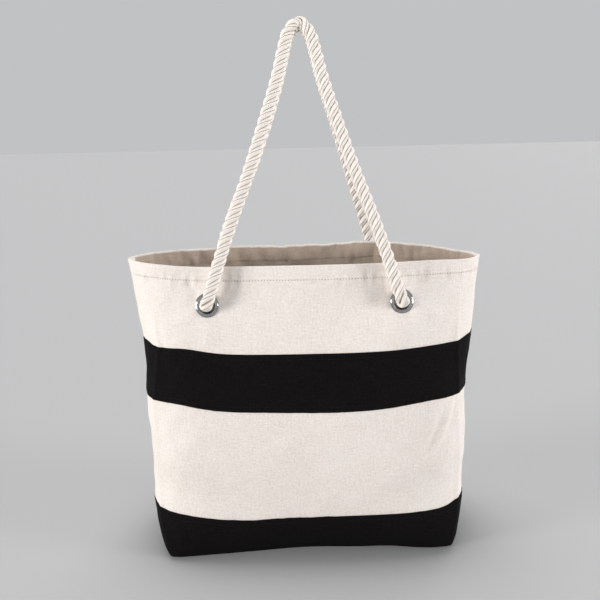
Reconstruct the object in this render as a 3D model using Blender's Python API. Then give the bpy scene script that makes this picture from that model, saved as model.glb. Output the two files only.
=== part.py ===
"""Canvas beach bag with two rope handles, as separate named pieces.

The bag stands on the XY plane with its origin at the middle of its base. Its width runs along X and
its front faces -Y. Everything is in metres.
"""

import math

import bmesh
import bpy
import numpy as np
from mathutils import Matrix, Vector

# Driving dimensions
CANVAS = 0.0012
GAP = 0.0003
BAG_HEIGHT = 0.420
HEM_DEPTH = 0.024
BAND_EDGES = {"base_band": 0.071, "middle_panel": 0.2275, "upper_band": 0.305, "top_panel": BAG_HEIGHT}

# Outer outline of the body at some heights: (height, half width, half depth, roundness in X, in Y).
# The roundness is a superellipse exponent: 2 is an ellipse and 12 is nearly a rectangle.
OUTLINES = (
    (0.0000, 0.207, 0.092, 14.0, 14.0),
    (0.0250, 0.217, 0.106, 8.0, 7.5),
    (0.0710, 0.228, 0.118, 3.8, 3.6),
    (0.1500, 0.231, 0.125, 3.0, 2.7),
    (0.2275, 0.232, 0.124, 2.8, 2.4),
    (0.3050, 0.237, 0.115, 2.6, 2.2),
    (BAG_HEIGHT, 0.250, 0.088, 2.5, 1.8),
)

ROPE_RADIUS = 0.009
HANDLE_SPREAD = 0.1305
GROMMET_HEIGHT = 0.3685
HANDLE_TOP = 0.7345
HANDLE_TOP_Y = 0.0105
HINGE_STANDOFF = 0.0145
ARM_LEAN_START = 0.385
HANDLE_STEP = 0.0135
# Half of a handle, up from the grommet and over the narrow top, as (half spacing, height, how far
# along X the back handle hangs over from the front one).
HANDLE_ROUTE = (
    (HANDLE_SPREAD, GROMMET_HEIGHT, 0.0000),
    (0.1148, 0.4180, -0.0090),
    (0.0950, 0.4760, -0.0075),
    (0.0718, 0.5370, -0.0025),
    (0.0470, 0.6100, 0.0000),
    (0.0292, 0.6660, 0.0000),
    (0.0208, 0.7000, 0.0000),
    (0.0135, 0.7220, 0.0000),
    (0.0000, HANDLE_TOP, 0.0000),
)

FLANGE_RADIUS = 0.0165
BORE_RADIUS = 0.0113
BARREL_RADIUS = 0.0123
FLANGE_HEIGHT = 0.0019
WASHER_HEIGHT = 0.0010
BARREL_LENGTH = 0.0052

KNOT_RADIUS = 0.0265
KNOT_LENGTH = 0.044
TAIL_DROP = 0.078
WHIPPING_LENGTH = 0.014
WHIPPING_THICKNESS = 0.0009

TAPE_WIDTH = 0.026
TAPE_THICKNESS = 0.0010
TAPE_GAP = 0.0012

# Colours as (linear RGB, roughness, metallic)
CREAM = ((0.80, 0.73, 0.65), 0.9, 0.0)
BLACK = ((0.012, 0.011, 0.012), 0.9, 0.0)
ROPE = ((0.83, 0.76, 0.68), 0.85, 0.0)
NICKEL = ((0.78, 0.79, 0.81), 0.15, 1.0)
TWINE = ((0.75, 0.66, 0.52), 0.8, 0.0)

SIDES = {"front": -1, "back": 1}
ENDS = {"left": -1, "right": 1}
HALF_POINTS = 36


def clear_scene():
    for obj in list(bpy.data.objects):
        bpy.data.objects.remove(obj)


def material(name, look):
    colour, roughness, metallic = look
    made = bpy.data.materials.new(name)
    made.use_nodes = True
    shader = made.node_tree.nodes["Principled BSDF"]
    shader.inputs["Base Color"].default_value = (*colour, 1.0)
    shader.inputs["Roughness"].default_value = roughness
    shader.inputs["Metallic"].default_value = metallic
    made.diffuse_color = (*colour, 1.0)
    return made


def add_object(name, mesh, look, smooth=True):
    """A new object in the scene, with a material of its own."""
    obj = bpy.data.objects.new(name, mesh)
    bpy.context.scene.collection.objects.link(obj)
    mesh.materials.append(material(name, look))
    if smooth:
        mesh.shade_smooth()
        mesh.set_sharp_from_angle(angle=math.radians(35))
    return obj


def mesh_from(name, points, faces):
    mesh = bpy.data.meshes.new(name)
    mesh.from_pydata([tuple(point) for point in points], [], faces)
    work = bmesh.new()
    work.from_mesh(mesh)
    bmesh.ops.recalc_face_normals(work, faces=work.faces)
    work.to_mesh(mesh)
    work.free()
    return mesh


# The body's outline


def outline_at(height):
    """(half width, half depth, roundness in X, in Y) at a height, on a smooth curve through OUTLINES."""
    heights = [row[0] for row in OUTLINES]
    last = len(OUTLINES) - 2
    step = min(max(np.searchsorted(heights, height, side="right") - 1, 0), last)
    low = np.array(OUTLINES[step])
    high = np.array(OUTLINES[step + 1])
    before = np.array(OUTLINES[max(step - 1, 0)])
    after = np.array(OUTLINES[min(step + 2, last + 1)])
    span = high[0] - low[0]
    blend = (height - low[0]) / span
    slope_low = (high - before) / (high[0] - before[0]) * span
    slope_high = (after - low) / (after[0] - low[0]) * span
    row = (
        low * (2 * blend**3 - 3 * blend**2 + 1)
        + slope_low * (blend**3 - 2 * blend**2 + blend)
        + high * (3 * blend**2 - 2 * blend**3)
        + slope_high * (blend**3 - blend**2)
    )
    return row[1:]


def outline_points(height, side, count, start=0.0, inset=0.0):
    """Points at equal steps along one half of the outline, from the right seam to the left seam.

    start leaves that length out at each seam, and inset moves the outline inwards.
    """
    half_width, half_depth, round_x, round_y = outline_at(height)
    angle = np.linspace(0, math.pi, 1441)
    cosine = np.cos(angle)
    x = half_width * np.sign(cosine) * np.abs(cosine) ** (2 / round_x)
    y = side * half_depth * np.abs(np.sin(angle)) ** (2 / round_y)
    along = np.concatenate([[0], np.cumsum(np.hypot(np.diff(x), np.diff(y)))])
    wanted = np.linspace(start, along[-1] - start, count)
    points = np.stack([np.interp(wanted, along, x), np.interp(wanted, along, y)], axis=1)
    if inset:
        ahead = np.stack([np.interp(wanted + 0.001, along, x), np.interp(wanted + 0.001, along, y)], axis=1)
        behind = np.stack([np.interp(wanted - 0.001, along, x), np.interp(wanted - 0.001, along, y)], axis=1)
        tangent = ahead - behind
        tangent /= np.linalg.norm(tangent, axis=1, keepdims=True)
        points += inset * side * np.stack([-tangent[:, 1], tangent[:, 0]], axis=1)
        points[:, 1] = side * np.maximum(side * points[:, 1], GAP / 2)
    return points


def wall_y(x, height, side):
    """Y of the body's outer face at a place on the front or back."""
    half_width, half_depth, round_x, round_y = outline_at(height)
    return side * half_depth * (1 - (abs(x) / half_width) ** round_x) ** (1 / round_y)


def wall_strip(name, side, heights, look, inset=0.0):
    """A strip of cloth round the front or back half of the body, through the given heights."""
    rows = len(heights) - 1
    count = HALF_POINTS
    layers = []
    for depth in (inset, inset + CANVAS):
        for height in heights:
            ring = outline_points(height, side, count, GAP / 2, depth)
            layers.append(np.column_stack([ring, np.full(count, height)]))
    points = np.concatenate(layers)
    faces = []

    def corner(layer, row, column):
        return (layer * (rows + 1) + row) * count + column

    for row in range(rows):
        for column in range(count - 1):
            for layer in (0, 1):
                faces.append((
                    corner(layer, row, column),
                    corner(layer, row, column + 1),
                    corner(layer, row + 1, column + 1),
                    corner(layer, row + 1, column),
                ))
    for column in range(count - 1):
        for row in (0, rows):
            faces.append((
                corner(0, row, column),
                corner(0, row, column + 1),
                corner(1, row, column + 1),
                corner(1, row, column),
            ))
    for row in range(rows):
        for column in (0, count - 1):
            faces.append((
                corner(0, row, column),
                corner(0, row + 1, column),
                corner(1, row + 1, column),
                corner(1, row, column),
            ))
    return add_object(name, mesh_from(name, points, faces), look)


# Grommets and what goes through them


def grommet_frame(side, end):
    """Where a grommet sits: origin on the outer face of the canvas, +Z straight out of it."""
    x, z = end * HANDLE_SPREAD, GROMMET_HEIGHT
    step = 0.008
    centre = Vector((x, wall_y(x, z, side), z))
    across = Vector((2 * step, wall_y(x + step, z, side) - wall_y(x - step, z, side), 0))
    up = Vector((0, wall_y(x, z + step, side) - wall_y(x, z - step, side), 2 * step))
    out = across.cross(up).normalized()
    if out.y * side < 0:
        out.negate()
    across.normalize()
    frame = Matrix((across, out.cross(across), out)).transposed().to_4x4()
    frame.translation = centre
    return frame


def turned(name, profile, look, place, segments=28):
    """A ring turned about its Z axis from a closed outline of (radius, height) points."""
    count = len(profile)
    points = []
    faces = []
    for segment in range(segments):
        angle = 2 * math.pi * segment / segments
        for radius, height in profile:
            points.append((radius * math.cos(angle), radius * math.sin(angle), height))
        following = (segment + 1) % segments
        for corner in range(count):
            beside = (corner + 1) % count
            faces.append((
                segment * count + corner,
                following * count + corner,
                following * count + beside,
                segment * count + beside,
            ))
    obj = add_object(name, mesh_from(name, points, faces), look)
    obj.matrix_world = place
    return obj


def grommet(name, place):
    """Outside half of an eyelet: a rolled flange on a short barrel through the canvas."""
    base = GAP
    profile = [(BORE_RADIUS, -BARREL_LENGTH), (BARREL_RADIUS, -BARREL_LENGTH), (BARREL_RADIUS, base)]
    profile.append((FLANGE_RADIUS - 0.0004, base))
    crown = 6
    middle = (FLANGE_RADIUS + BORE_RADIUS) / 2
    half = (FLANGE_RADIUS - BORE_RADIUS) / 2
    for step in range(crown):
        angle = math.pi * step / (crown - 1)
        radius = middle + half * math.cos(angle)
        profile.append((radius, base + 0.0004 + (FLANGE_HEIGHT - 0.0004) * math.sin(angle)))
    return turned(name, profile, NICKEL, place)


def grommet_washer(name, place):
    """Flat ring inside the bag, which the barrel is rolled over."""
    inner = BARREL_RADIUS + GAP
    outer = FLANGE_RADIUS
    top = -CANVAS - 0.0010
    bottom = top - WASHER_HEIGHT
    chamfer = 0.0003
    chamfered = [(outer - chamfer, bottom), (outer, bottom + chamfer)]
    profile = [(inner, bottom), *chamfered, (outer, top), (inner, top)]
    return turned(name, profile, NICKEL, place)


def cut_grommet_holes(panel, side):
    """Holes in the top panel for the two barrels, straight along each grommet's axis."""
    for end_name, end in ENDS.items():
        mesh = bpy.data.meshes.new("hole_cutter")
        work = bmesh.new()
        radius = BARREL_RADIUS + GAP
        bmesh.ops.create_cone(
            work, cap_ends=True, segments=32, radius1=radius, radius2=radius, depth=0.012
        )
        work.to_mesh(mesh)
        work.free()
        cutter = bpy.data.objects.new(f"{panel.name}_{end_name}_cutter", mesh)
        bpy.context.scene.collection.objects.link(cutter)
        cutter.matrix_world = grommet_frame(side, end)
        cutter.hide_render = True
        cutter.display_type = "WIRE"
        hole = panel.modifiers.new(f"{end_name}_hole", "BOOLEAN")
        hole.object = cutter
        hole.operation = "DIFFERENCE"
        hole.solver = "EXACT"


# Rope


def smooth_route(points, spacing):
    """Points at even steps on a Catmull-Rom curve through the given ones."""
    ends = [points[0] * 2 - points[1], *points, points[-1] * 2 - points[-2]]
    fine = []
    for before, start, end, after in zip(ends, ends[1:], ends[2:], ends[3:]):
        for step in range(24):
            t = step / 24
            fine.append(
                0.5 * (
                    2 * start
                    + (end - before) * t
                    + (2 * before - 5 * start + 4 * end - after) * t**2
                    + (3 * start - before - 3 * end + after) * t**3
                )
            )
    fine.append(points[-1])
    fine = np.array(fine)
    along = np.concatenate([[0], np.cumsum(np.linalg.norm(np.diff(fine, axis=0), axis=1))])
    wanted = np.linspace(0, along[-1], max(2, round(along[-1] / spacing)) + 1)
    return np.stack([np.interp(wanted, along, fine[:, axis]) for axis in range(3)], axis=1)


def tube_mesh(name, route, radii, sides=12):
    """A closed tube round a route, with one radius for each of its points."""
    route = [Vector(point) for point in route]
    tangents = []
    for index in range(len(route)):
        ahead = route[min(index + 1, len(route) - 1)]
        behind = route[max(index - 1, 0)]
        tangents.append((ahead - behind).normalized())
    across = tangents[0].orthogonal().normalized()
    points = []
    faces = []
    for index, (centre, tangent, radius) in enumerate(zip(route, tangents, radii)):
        if index:
            across = tangents[index - 1].rotation_difference(tangent) @ across
        beside = tangent.cross(across)
        for side in range(sides):
            angle = 2 * math.pi * side / sides
            points.append(centre + radius * (math.cos(angle) * across + math.sin(angle) * beside))
        if index:
            for side in range(sides):
                following = (side + 1) % sides
                faces.append((
                    (index - 1) * sides + side,
                    (index - 1) * sides + following,
                    index * sides + following,
                    index * sides + side,
                ))
    faces.append(tuple(range(sides)))
    faces.append(tuple(range((len(route) - 1) * sides, len(route) * sides)))
    return mesh_from(name, points, faces)


def hinge_y(side):
    """Y of the axis that a handle swings about: the rope's centre just outside the grommets."""
    return wall_y(HANDLE_SPREAD, GROMMET_HEIGHT, side) + side * HINGE_STANDOFF


def handle_rope(name, side):
    """The stretch of a handle outside the bag, leaning in to the middle, with round ends."""
    axis_y = hinge_y(side)
    lean = (side * HANDLE_TOP_Y - axis_y) / (HANDLE_TOP - ARM_LEAN_START)
    arms = {
        end: [
            np.array((end * x + (sway if side > 0 else 0), axis_y + lean * max(0, z - ARM_LEAN_START), z))
            for x, z, sway in HANDLE_ROUTE
        ]
        for end in (-1, 1)
    }
    route = smooth_route(arms[1] + arms[-1][-2::-1], spacing=HANDLE_STEP)
    radii = [ROPE_RADIUS] * len(route)
    steps = (0.35, 0.7, 0.97)
    for index, inward in ((0, 1), (-1, -2)):
        end = route[index]
        out = end - route[inward]
        out /= np.linalg.norm(out)
        cap = [end + out * ROPE_RADIUS * step for step in steps]
        rings = [ROPE_RADIUS * math.sqrt(1 - step**2) for step in steps]
        if index == 0:
            route = np.concatenate([cap[::-1], route])
            radii = rings[::-1] + radii
        else:
            route = np.concatenate([route, cap])
            radii = radii + rings
    obj = add_object(name, tube_mesh(name, route, radii), ROPE)
    place_origin(obj, Vector((0, axis_y, GROMMET_HEIGHT)))
    return obj


def place_origin(obj, origin):
    """Moves an object's origin without moving its mesh."""
    obj.data.transform(Matrix.Translation(-origin))
    obj.matrix_world = Matrix.Translation(origin)


def tail_end(side, end):
    """The middle of the rope's cut end, below its knot."""
    place = grommet_frame(side, end)
    knot_middle = place @ Vector((0, 0, -BARREL_LENGTH - KNOT_LENGTH * 0.55))
    return Vector((knot_middle.x, knot_middle.y, GROMMET_HEIGHT - TAIL_DROP))


def knot(name, side, end):
    """Rope through the grommet, its stopper knot inside the bag and the tail hanging from it."""
    place = grommet_frame(side, end)
    stub_top = 0.0030
    knot_top = -BARREL_LENGTH - GAP
    route = [(0, 0, stub_top), (0, 0, knot_top + 0.0002)]
    radii = [ROPE_RADIUS, ROPE_RADIUS]
    steps = 8
    for step in range(steps + 1):
        share = step / steps
        route.append((0, 0, knot_top - KNOT_LENGTH * share))
        roundness = (1 - abs(2 * share - 1) ** 2.6) ** (1 / 2.6)
        radii.append(max(KNOT_RADIUS * roundness, ROPE_RADIUS * 1.05))
    body = add_object(name, tube_mesh(name, route, radii, sides=20), ROPE)
    body.matrix_world = place

    foot = tail_end(side, end)
    top = foot + Vector((0, 0, TAIL_DROP - 0.012))
    neck = foot + Vector((0, 0, WHIPPING_LENGTH))
    thin = ROPE_RADIUS - WHIPPING_THICKNESS - GAP
    tail_route = [foot, neck, neck + Vector((0, 0, 0.0005)), top]
    tail = bpy.data.objects.new(
        f"{name}_tail", tube_mesh(f"{name}_tail", tail_route, [thin, thin, ROPE_RADIUS, ROPE_RADIUS])
    )
    bpy.context.scene.collection.objects.link(tail)
    tail.hide_render = True
    tail.display_type = "WIRE"
    join = body.modifiers.new("tail", "BOOLEAN")
    join.object = tail
    join.operation = "UNION"
    join.solver = "EXACT"
    return body


def whipping(name, side, end):
    """Twine wound round the cut end of the rope."""
    foot = tail_end(side, end)
    inner = ROPE_RADIUS - WHIPPING_THICKNESS
    outer = ROPE_RADIUS
    top = WHIPPING_LENGTH - GAP
    profile = [(inner, 0), (outer, 0), (outer, top), (inner, top)]
    return turned(name, profile, TWINE, Matrix.Translation(foot), segments=20)


# The rest of the body


def bottom_panel():
    """Flat cloth bottom that the base bands stand on."""
    rim = []
    for side, order in ((-1, 1), (1, -1)):
        half = outline_points(0.0, side, HALF_POINTS)[::order]
        rim.extend(half[:-1])
    mesh = bpy.data.meshes.new("bottom_panel")
    work = bmesh.new()
    lower = [work.verts.new((x, y, 0.0)) for x, y in rim]
    face = work.faces.new(lower)
    lifted = bmesh.ops.extrude_face_region(work, geom=[face])
    moved = [item for item in lifted["geom"] if isinstance(item, bmesh.types.BMVert)]
    bmesh.ops.translate(work, vec=(0, 0, CANVAS), verts=moved)
    bmesh.ops.recalc_face_normals(work, faces=work.faces)
    work.to_mesh(mesh)
    work.free()
    return add_object("bottom_panel", mesh, BLACK)


def seam_binding(name, end):
    """Tape over the raw edges of one side seam, inside the bag."""
    bottom = CANVAS + 0.004
    top = BAG_HEIGHT - HEM_DEPTH - 0.002
    rows = 10
    inset = CANVAS + TAPE_GAP
    rings = []
    for depth in (inset, inset + TAPE_THICKNESS):
        for height in np.linspace(bottom, top, rows + 1):
            half = outline_points(height, -1, 2 * HALF_POINTS, 0.0002, depth)
            half = half if end > 0 else half[::-1]
            reach = np.concatenate([[0], np.cumsum(np.linalg.norm(np.diff(half, axis=0), axis=1))])
            wanted = np.linspace(TAPE_WIDTH / 2, 0, 4)
            front = np.stack([np.interp(wanted, reach, half[:, axis]) for axis in range(2)], axis=1)
            back = (front * (1, -1))[::-1]
            ring = np.concatenate([front, back])
            rings.append(np.column_stack([ring, np.full(len(ring), height)]))
    count = len(rings[0])
    points = np.concatenate(rings)
    layer = (rows + 1) * count
    faces = []
    for row in range(rows):
        for column in range(count - 1):
            start = row * count + column
            for base in (0, layer):
                faces.append((base + start, base + start + 1, base + start + count + 1, base + start + count))
    for column in range(count - 1):
        for start in (column, rows * count + column):
            faces.append((start, start + 1, layer + start + 1, layer + start))
    for row in range(rows):
        for start in (row * count, row * count + count - 1):
            faces.append((start, start + count, layer + start + count, layer + start))
    return add_object(name, mesh_from(name, points, faces), CREAM)


def body_panels(side_name, side):
    """The four strips and the hem of the front or the back."""
    looks = {"base_band": BLACK, "middle_panel": CREAM, "upper_band": BLACK, "top_panel": CREAM}
    rows = {"base_band": 5, "middle_panel": 4, "upper_band": 2, "top_panel": 3}
    hem_bottom = BAG_HEIGHT - HEM_DEPTH
    bottom = CANVAS + GAP
    for part_name, top in BAND_EDGES.items():
        if part_name == "top_panel":
            heights = [*np.linspace(bottom, hem_bottom, rows[part_name] + 1), BAG_HEIGHT]
        else:
            heights = np.linspace(bottom, top - GAP, rows[part_name] + 1)
        strip = wall_strip(f"{side_name}_{part_name}", side, heights, looks[part_name])
        if part_name == "top_panel":
            cut_grommet_holes(strip, side)
        bottom = top
    wall_strip(f"{side_name}_hem", side, (hem_bottom, BAG_HEIGHT), CREAM, inset=CANVAS + GAP)


def main():
    clear_scene()
    bottom_panel()
    for side_name, side in SIDES.items():
        body_panels(side_name, side)
        handle_rope(f"{side_name}_handle_rope", side)
        for end_name, end in ENDS.items():
            place = grommet_frame(side, end)
            label = f"{side_name}_{end_name}"
            grommet(f"{label}_grommet", place)
            grommet_washer(f"{label}_grommet_washer", place)
            knot(f"{label}_knot", side, end)
            whipping(f"{label}_whipping", side, end)
    for end_name, end in ENDS.items():
        seam_binding(f"{end_name}_seam_binding", end)


main()
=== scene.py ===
"""Looks of a striped canvas beach bag with two twisted rope handles, round its fixed CAD frame."""

import math

import bmesh
import bpy
import numpy as np
from mathutils import Matrix, Vector


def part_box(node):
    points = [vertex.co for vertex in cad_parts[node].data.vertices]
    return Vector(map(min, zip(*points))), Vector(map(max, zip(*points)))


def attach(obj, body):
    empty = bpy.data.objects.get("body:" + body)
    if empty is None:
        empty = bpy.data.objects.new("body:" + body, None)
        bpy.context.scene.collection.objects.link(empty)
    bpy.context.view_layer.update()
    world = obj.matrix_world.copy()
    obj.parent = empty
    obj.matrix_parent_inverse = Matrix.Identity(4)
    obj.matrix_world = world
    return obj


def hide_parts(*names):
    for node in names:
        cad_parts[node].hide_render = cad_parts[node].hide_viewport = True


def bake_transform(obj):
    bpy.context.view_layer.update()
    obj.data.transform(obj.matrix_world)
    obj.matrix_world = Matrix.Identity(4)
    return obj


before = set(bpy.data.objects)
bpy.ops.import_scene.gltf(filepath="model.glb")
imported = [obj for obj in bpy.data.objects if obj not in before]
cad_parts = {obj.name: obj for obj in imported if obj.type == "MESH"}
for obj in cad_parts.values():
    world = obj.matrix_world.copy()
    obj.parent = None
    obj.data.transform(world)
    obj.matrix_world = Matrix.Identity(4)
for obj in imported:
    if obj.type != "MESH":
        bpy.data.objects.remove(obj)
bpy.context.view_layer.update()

# Sizes of the bag, in metres, as its CAD model has them
BAG_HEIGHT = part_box("front_top_panel")[1][2]
SEAM_HEIGHTS = {
    "base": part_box("front_middle_panel")[0][2],
    "lower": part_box("front_upper_band")[0][2],
    "upper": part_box("front_top_panel")[0][2],
}
HEM_DEPTH = 0.024
# How much of the inner face below the rim belongs to the rim's own roll, which the painted inside shade
# leaves out
RIM_ROLL = 0.0028
# Extra thickness of the rim where a side seam's allowance is folded into the hem
RIM_BULK = 0.0065
# Outer outline at some heights: (height, half width, half depth, roundness in X, in Y)
OUTLINES = (
    (0.0000, 0.205, 0.092, 24.0, 24.0),
    (0.0250, 0.213, 0.106, 11.0, 10.5),
    (0.0710, 0.226, 0.118, 3.8, 3.6),
    (0.1500, 0.231, 0.125, 3.0, 2.7),
    (0.2275, 0.232, 0.124, 2.8, 2.4),
    (0.3050, 0.237, 0.115, 2.6, 2.2),
    (BAG_HEIGHT, 0.250, 0.088, 2.5, 1.8),
)

ROPE_RADIUS = 0.009
ROPE_LAY = 0.040
ROPE_STEP = 0.0022
# Yarns round each strand, and the length in which they turn once round it
YARNS = 11
YARN_LAY = 0.020
HANDLE_SPREAD = 0.1305
GROMMET_HEIGHT = 0.3685
HANDLE_TOP = 0.7345
HANDLE_TOP_Y = 0.0105
HINGE_STANDOFF = 0.0145
ARM_LEAN_START = 0.385
# Half of a handle above the grommet: (half spacing, height, how far the back one hangs over along X)
HANDLE_ROUTE = (
    (0.1148, 0.4180, -0.0090),
    (0.0950, 0.4760, -0.0075),
    (0.0718, 0.5370, -0.0025),
    (0.0470, 0.6100, 0.0000),
    (0.0292, 0.6660, 0.0000),
    (0.0208, 0.7000, 0.0000),
    (0.0135, 0.7220, 0.0000),
    (0.0000, HANDLE_TOP, 0.0000),
)
BARREL_LENGTH = 0.0052
BORE_RADIUS = 0.0113
FLANGE_RADIUS = 0.0165
KNOT_LENGTH = 0.044
TAIL_DROP = 0.078
WHIPPING_LENGTH = 0.014

# Cloth: single ply thickness and the thread spacing of the weave
PLY = 0.00085
THREAD = 0.00078
# How far under the wall's outer face the cream cloth and the black bands have their own
CREAM_DEPTH = 0.00035
BAND_DEPTH = -0.00015
# How far a band runs over the cream cloth beside it, and how far the front stands proud at a side seam
LAP = 0.004
SEAM_RIDGE = 0.0006
SEAM_ALLOWANCE = 0.010
# Length of canvas from one side seam to the other, for even cloth coordinates
HALF_LENGTH = 0.58
# How far along and up the cloth coordinates the inner face of a piece of cloth is laid out
INSIDE_SHIFT = 10.0
INSIDE_RISE = 0.17
STITCH_LENGTH = 0.0031
STITCH_PITCH = 0.0040
STITCH_RADIUS = 0.00042
HEM_STITCH_DROPS = (0.0150, 0.0190)
HOLE_RADIUS = 0.00055
BAND_STITCH_OFFSETS = (0.0020, 0.0075)
SIDE_STITCH_OFFSET = 0.0026
TAPE_HALF_WIDTH = 0.013

SIDES = {"front": -1, "back": 1}
ENDS = {"left": -1, "right": 1}
# How far the left side seam sits round towards the front, as a share of the front's length
LEFT_SEAM_SHIFT = 0.020

# The bag leans a little to one side and back as it goes up: (height, how far along X)
LEAN = (
    (0.0, 0.0032), (0.05, 0.0002), (0.10, 0.0), (0.21, 0.0),
    (0.26, 0.0020), (0.305, 0.0035), (0.36, 0.0010), (0.42, 0.0),
)
# Where edges and seams run higher or lower than they were cut: (X, height, lift, spread in X, in height)
FRONT_LIFTS = (
    (0.238, 0.420, -0.0052, 0.045, 0.050),
    (-0.150, 0.420, -0.0015, 0.050, 0.020),
    (-0.165, 0.305, 0.0036, 0.032, 0.030),
    (-0.228, 0.305, 0.0046, 0.010, 0.030),
    (0.170, 0.305, 0.0014, 0.040, 0.030),
    (0.226, 0.305, 0.0034, 0.012, 0.030),
    (-0.175, 0.2275, 0.0030, 0.035, 0.030),
    (0.010, 0.2275, -0.0024, 0.080, 0.030),
    (0.165, 0.2275, 0.0030, 0.040, 0.030),
    (-0.085, 0.071, -0.0042, 0.070, 0.030),
    (0.212, 0.071, 0.0034, 0.014, 0.030),
    (0.020, 0.000, 0.0022, 0.090, 0.022),
)
BACK_LIFTS = (
    (0.238, 0.420, -0.0052, 0.045, 0.050),
    (0.105, 0.420, 0.0042, 0.050, 0.040),
    (-0.020, 0.420, -0.0010, 0.040, 0.030),
    (-0.130, 0.305, 0.0025, 0.050, 0.040),
    (0.060, 0.2275, -0.0022, 0.070, 0.040),
    (0.120, 0.071, -0.0025, 0.060, 0.030),
)
# How far the foot of the front stands forward of the plain outline: (X, how far, spread in X)
FRONT_FOOT = ((-0.205, 0.005, 0.050), (0.010, -0.018, 0.110), (0.120, -0.009, 0.045), (0.205, -0.009, 0.040))
FOOT_REACH = 0.060
# Soft folds and hollows: (X, height, direction in degrees from level, half length, half width, how proud)
FRONT_FOLDS = (
    (-0.152, 0.390, 128, 0.026, 0.0080, -0.0026),
    (-0.112, 0.392, 62, 0.020, 0.0070, -0.0018),
    (-0.132, 0.342, 84, 0.022, 0.0080, 0.0017),
    (-0.158, 0.352, 40, 0.022, 0.0070, 0.0015),
    (0.153, 0.391, 50, 0.024, 0.0080, -0.0023),
    (0.112, 0.391, 118, 0.018, 0.0070, -0.0018),
    (0.130, 0.340, 97, 0.022, 0.0080, 0.0016),
    (0.168, 0.352, 148, 0.026, 0.0080, 0.0017),
    (0.186, 0.178, 60, 0.042, 0.0062, 0.0031),
    (0.171, 0.168, 58, 0.040, 0.0058, -0.0027),
    (0.203, 0.190, 64, 0.036, 0.0058, -0.0023),
    (0.150, 0.140, 52, 0.030, 0.0070, 0.0009),
    (0.110, 0.120, 30, 0.040, 0.0100, 0.0008),
    (-0.188, 0.170, 112, 0.040, 0.0070, 0.0011),
    (-0.170, 0.130, 120, 0.036, 0.0080, -0.0011),
    (-0.120, 0.186, 150, 0.045, 0.0110, 0.0008),
    (-0.195, 0.270, 100, 0.028, 0.0070, -0.0010),
    (-0.182, 0.030, 92, 0.022, 0.0045, 0.0012),
    (-0.166, 0.034, 88, 0.022, 0.0045, -0.0010),
    (0.176, 0.032, 94, 0.022, 0.0050, 0.0010),
)
BACK_FOLDS = (
    (-0.150, 0.388, 55, 0.030, 0.0090, -0.0026),
    (-0.095, 0.395, 110, 0.026, 0.0090, 0.0024),
    (-0.045, 0.380, 70, 0.045, 0.0110, -0.0022),
    (0.010, 0.392, 100, 0.032, 0.0100, 0.0024),
    (0.062, 0.382, 60, 0.042, 0.0110, -0.0024),
    (0.105, 0.397, 120, 0.024, 0.0080, 0.0022),
    (0.160, 0.388, 130, 0.030, 0.0090, -0.0026),
    (-0.180, 0.180, 65, 0.045, 0.0080, 0.0014),
    (-0.160, 0.150, 62, 0.040, 0.0070, -0.0013),
    (0.175, 0.190, 115, 0.045, 0.0080, 0.0013),
    (0.100, 0.140, 30, 0.050, 0.0110, 0.0010),
    (-0.060, 0.150, 160, 0.060, 0.0130, -0.0010),
)

# Camera: where it looks, from how far and from which direction
CAMERA_TARGET = (-0.0062, 0.0, 0.3524)
CAMERA_DISTANCE = 1.2147
CAMERA_ELEVATION = 13.0
CAMERA_AZIMUTH = 0.23
CAMERA_ROLL = -1.29
CAMERA_LENS = 50.34


# Camera, floor and light


def add_object(name, data):
    thing = bpy.data.objects.new(name, data)
    bpy.context.scene.collection.objects.link(thing)
    return thing


def add_camera():
    elevation = math.radians(CAMERA_ELEVATION)
    azimuth = math.radians(CAMERA_AZIMUTH)
    back = Vector((
        math.sin(azimuth) * math.cos(elevation),
        -math.cos(azimuth) * math.cos(elevation),
        math.sin(elevation),
    ))
    data = bpy.data.cameras.new("camera")
    data.lens = CAMERA_LENS
    data.sensor_width = 36
    camera = add_object("camera", data)
    turn = back.to_track_quat("Z", "Y").to_matrix().to_4x4()
    roll = Matrix.Rotation(math.radians(CAMERA_ROLL), 4, "Z")
    camera.matrix_world = Matrix.Translation(Vector(CAMERA_TARGET) + back * CAMERA_DISTANCE) @ turn @ roll
    bpy.context.scene.camera = camera


def add_distant_light(name, direction, strength, spread, colour=(1, 1, 1)):
    """An even light from far away; direction points from the bag towards it, and spread is in degrees."""
    data = bpy.data.lights.new(name, "SUN")
    data.energy = strength
    data.angle = math.radians(spread)
    data.color = colour
    add_object(name, data).matrix_world = Vector(direction).to_track_quat("Z", "Y").to_matrix().to_4x4()


def add_studio():
    add_distant_light("key_light", (-0.92, -0.40, 0.06), 3.38, 22, (1.0, 0.990, 0.984))
    add_distant_light("fill_light", (0.95, -0.30, 0.05), 3.07, 22, (0.99, 0.99, 1.0))
    add_distant_light("top_light", (-0.10, 0.20, 1.0), 1.15, 40)
    add_distant_light("back_light", (0.45, 0.88, 0.10), 1.20, 30)
    world = bpy.data.worlds.new("studio")
    world.use_nodes = True
    world.node_tree.nodes["Background"].inputs["Color"].default_value = (0.97, 0.98, 1.0, 1)
    world.node_tree.nodes["Background"].inputs["Strength"].default_value = 0.55
    bpy.context.scene.world = world
    bpy.context.scene.view_settings.view_transform = "Standard"


def add_floor():
    half = 12.0
    corners = [(-half, -half, 0), (half, -half, 0), (half, half, 0), (-half, half, 0)]
    mesh = bpy.data.meshes.new("floor")
    mesh.from_pydata(corners, [], [(0, 1, 2, 3)])
    floor = add_object("floor", mesh)
    floor.location.z = -0.0006
    look = bpy.data.materials.new("floor_paint")
    look.use_nodes = True
    shader = look.node_tree.nodes["Principled BSDF"]
    shader.inputs["Base Color"].default_value = (0.51, 0.51, 0.51, 1)
    shader.inputs["Roughness"].default_value = 0.9
    shader.inputs["Specular IOR Level"].default_value = 0.1
    mesh.materials.append(look)


# Materials


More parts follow.
